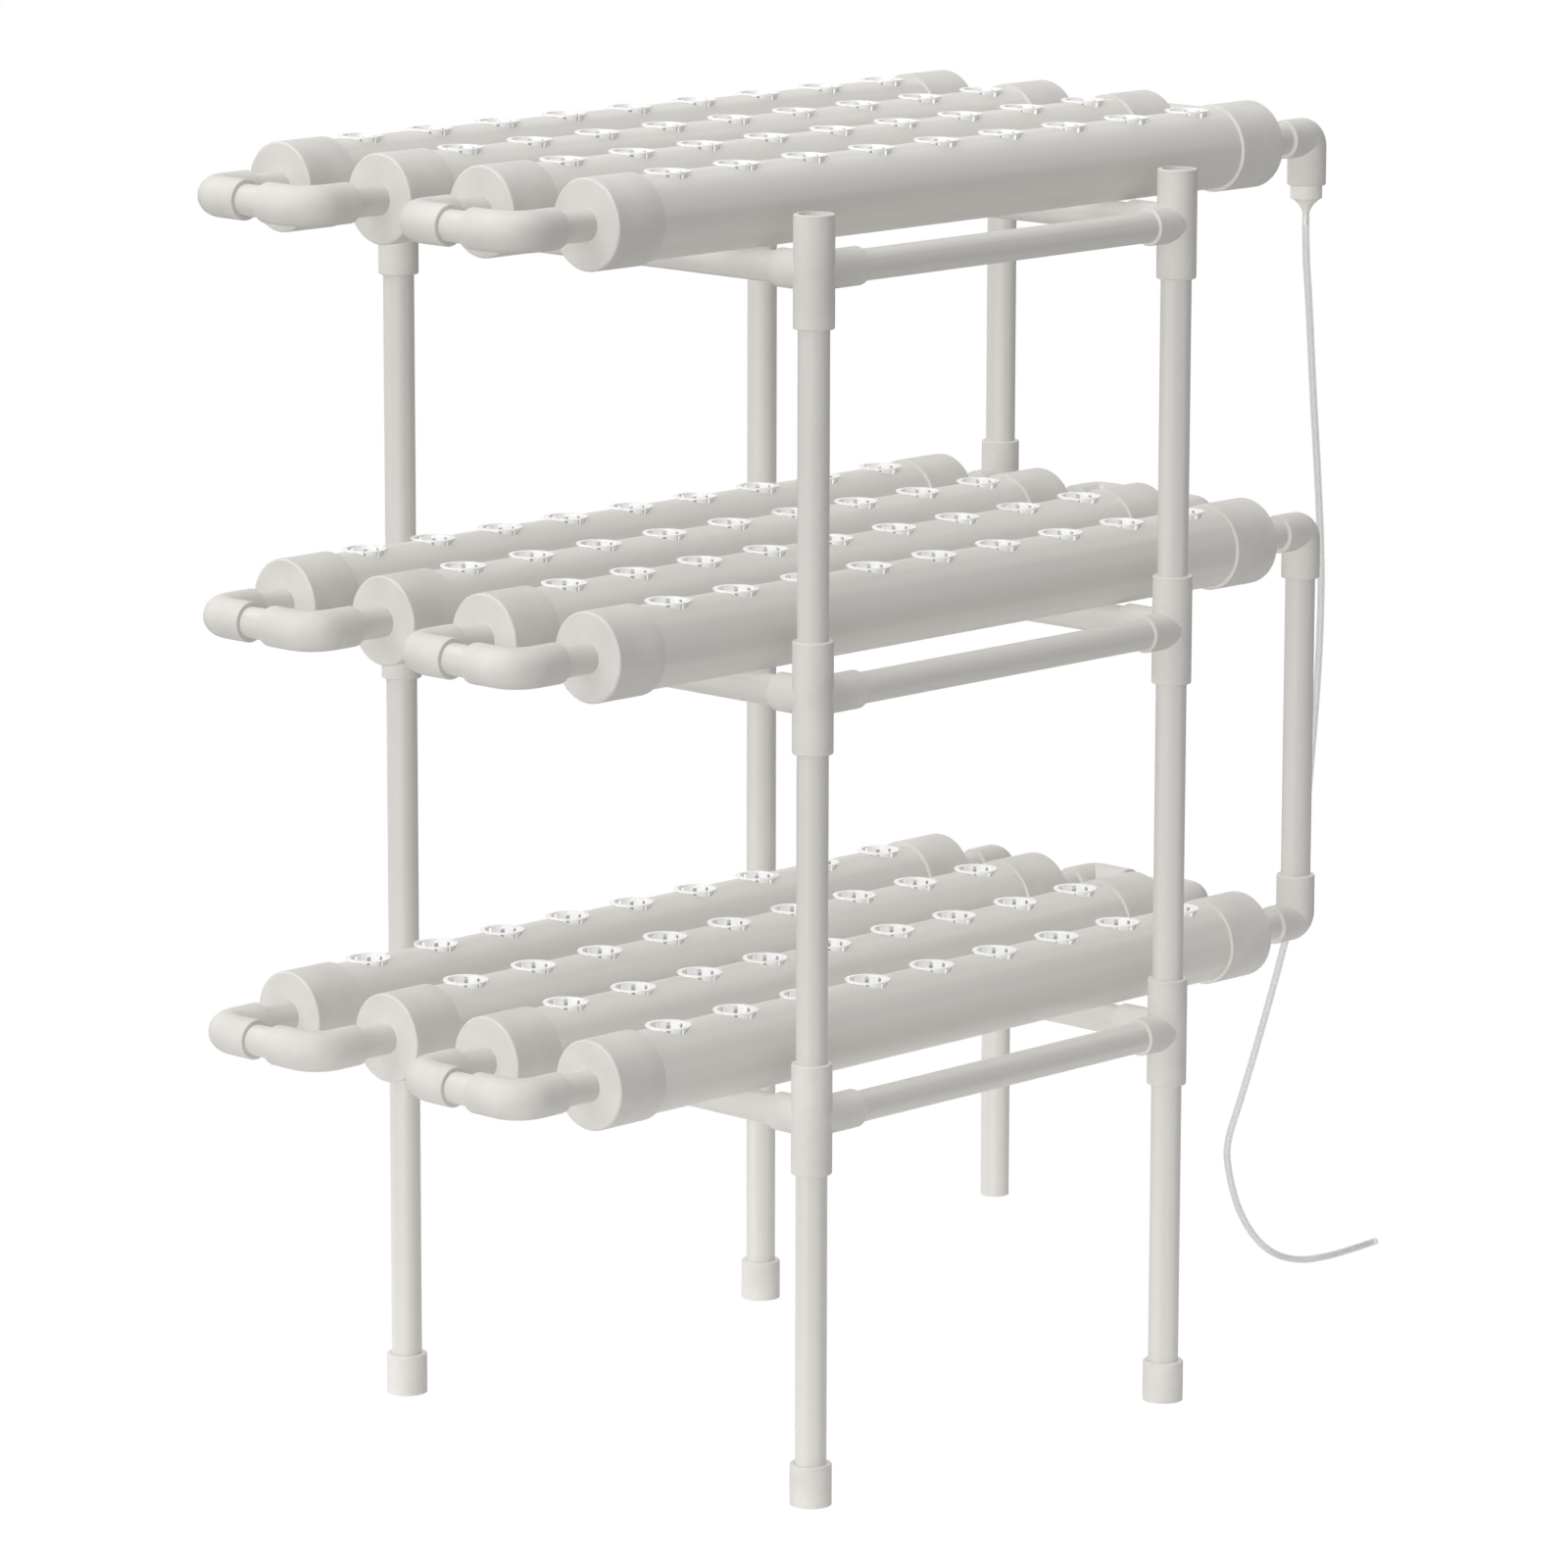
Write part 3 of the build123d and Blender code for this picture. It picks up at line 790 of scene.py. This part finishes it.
# %% Floor
FLOOR_HALF = 40.0
FLOOR_DROP = 0.0002
FLOOR_ROUGHNESS = 0.9
# A painted pool of light: the floor's colour is pale near the rack and darker further off, and
# the undersides get it as soft light from below.
FLOOR_NEAR = (0.82, 0.82, 0.81, 1.0)
FLOOR_FAR = (0.30, 0.30, 0.295, 1.0)
FLOOR_NEAR_REACH = 0.5
FLOOR_FAR_REACH = 1.8
FLOOR_WHITE = 1.02
FLOOR_WHITE_SHARE = 0.97


def make_floor():
    """A wide flat plane a hair below the feet."""
    corners = np.array([[-1, -1, 0], [1, -1, 0], [1, 1, 0], [-1, 1, 0]]) * FLOOR_HALF
    corners[:, 2] = -FLOOR_DROP
    return new_piece("studio_floor", corners, np.array([[0, 1, 2, 3]]), smooth=False)


floor = make_floor()
floor_material, floor_tree, floor_shader = start_material("studio_floor")
floor_place = floor_tree.nodes.new("ShaderNodeTexCoord")
floor_away = floor_tree.nodes.new("ShaderNodeVectorMath")
floor_away.operation = "LENGTH"
floor_tree.links.new(floor_place.outputs["Object"], floor_away.inputs[0])
floor_fade = floor_tree.nodes.new("ShaderNodeMapRange")
floor_fade.inputs["From Min"].default_value = FLOOR_NEAR_REACH
floor_fade.inputs["From Max"].default_value = FLOOR_FAR_REACH
floor_tree.links.new(floor_away.outputs["Value"], floor_fade.inputs["Value"])
floor_painted_light_pool = mix_colours(floor_tree, floor_fade.outputs["Result"], FLOOR_NEAR, FLOOR_FAR)
floor_tree.links.new(floor_painted_light_pool, floor_shader.inputs["Base Color"])
floor_shader.inputs["Roughness"].default_value = FLOOR_ROUGHNESS
floor_light = floor_tree.nodes.new("ShaderNodeEmission")
floor_light.inputs["Strength"].default_value = FLOOR_WHITE
floor_path = floor_tree.nodes.new("ShaderNodeLightPath")
floor_mix = floor_tree.nodes.new("ShaderNodeMixShader")
floor_factor = math_node(
    floor_tree, "MULTIPLY", floor_path.outputs["Is Camera Ray"], FLOOR_WHITE_SHARE
)
floor_tree.links.new(floor_factor, floor_mix.inputs["Fac"])
floor_tree.links.new(floor_shader.outputs["BSDF"], floor_mix.inputs[1])
floor_tree.links.new(floor_light.outputs["Emission"], floor_mix.inputs[2])
floor_output = next(n for n in floor_tree.nodes if n.type == "OUTPUT_MATERIAL")
floor_tree.links.new(floor_mix.outputs["Shader"], floor_output.inputs["Surface"])
floor.data.materials.append(floor_material)
print("floor is", 2 * FLOOR_HALF, "m wide")

# %% World
bpy.context.scene.view_settings.view_transform = "Standard"
WORLD_MIDDLE = 0.58
WORLD_SWING = 0.30
WORLD_SEEN = 1.0
TOWARDS_BACKDROP = (math.sin(CAMERA_YAW), math.cos(CAMERA_YAW), 0.0)

world = bpy.data.worlds.new("studio_world")
bpy.context.scene.world = world
world.use_nodes = True
world_tree = world.node_tree
world_back = world_tree.nodes["Background"]
world_back.inputs["Color"].default_value = (1.0, 1.0, 1.0, 1.0)
world_place = world_tree.nodes.new("ShaderNodeTexCoord")
world_facing = world_tree.nodes.new("ShaderNodeVectorMath")
world_facing.operation = "DOT_PRODUCT"
world_facing.inputs[1].default_value = TOWARDS_BACKDROP
world_tree.links.new(world_place.outputs["Generated"], world_facing.inputs[0])
world_swing = math_node(world_tree, "MULTIPLY", world_facing.outputs["Value"], WORLD_SWING)
world_fill = math_node(world_tree, "ADD", world_swing, WORLD_MIDDLE)
world_path = world_tree.nodes.new("ShaderNodeLightPath")
world_strength = world_tree.nodes.new("ShaderNodeMapRange")
world_strength.inputs["To Max"].default_value = WORLD_SEEN
world_tree.links.new(world_fill, world_strength.inputs["To Min"])
world_tree.links.new(world_path.outputs["Is Camera Ray"], world_strength.inputs["Value"])
world_tree.links.new(world_strength.outputs["Result"], world_back.inputs["Strength"])
print("world fill:", WORLD_MIDDLE - WORLD_SWING, "to", WORLD_MIDDLE + WORLD_SWING)

# %% Lamps
LAMP_SOFTNESS = math.radians(50)
LAMPS = {
    "lamp_left": ((-0.95, -0.28, 0.12), 0.60),
    "lamp_above": ((-0.32, 0.25, 0.91), 0.53),
}


def add_lamp(name, light_from, share):
    """A soft lamp without shadows. Share is how bright a white card facing it becomes."""
    data = bpy.data.lights.new(name, "SUN")
    data.energy = share * math.pi
    data.angle = LAMP_SOFTNESS
    data.use_shadow = False
    lamp = bpy.data.objects.new(name, data)
    lamp.rotation_mode = "QUATERNION"
    lamp.rotation_quaternion = Vector(light_from).to_track_quat("Z", "Y")
    bpy.context.scene.collection.objects.link(lamp)
    return lamp


for lamp_name, (light_from, share) in LAMPS.items():
    add_lamp(lamp_name, light_from, share)
print("lamps:", sorted(LAMPS))

# %% [markdown]
# ## Sizes
#
# Blender must not change the rack's size. The function below turns a box into plain lists of
# numbers.

# %% Sizes as plain numbers
def plain(box):
    """A box as plain lists of numbers."""
    return [[float(value) for value in corner] for corner in box]
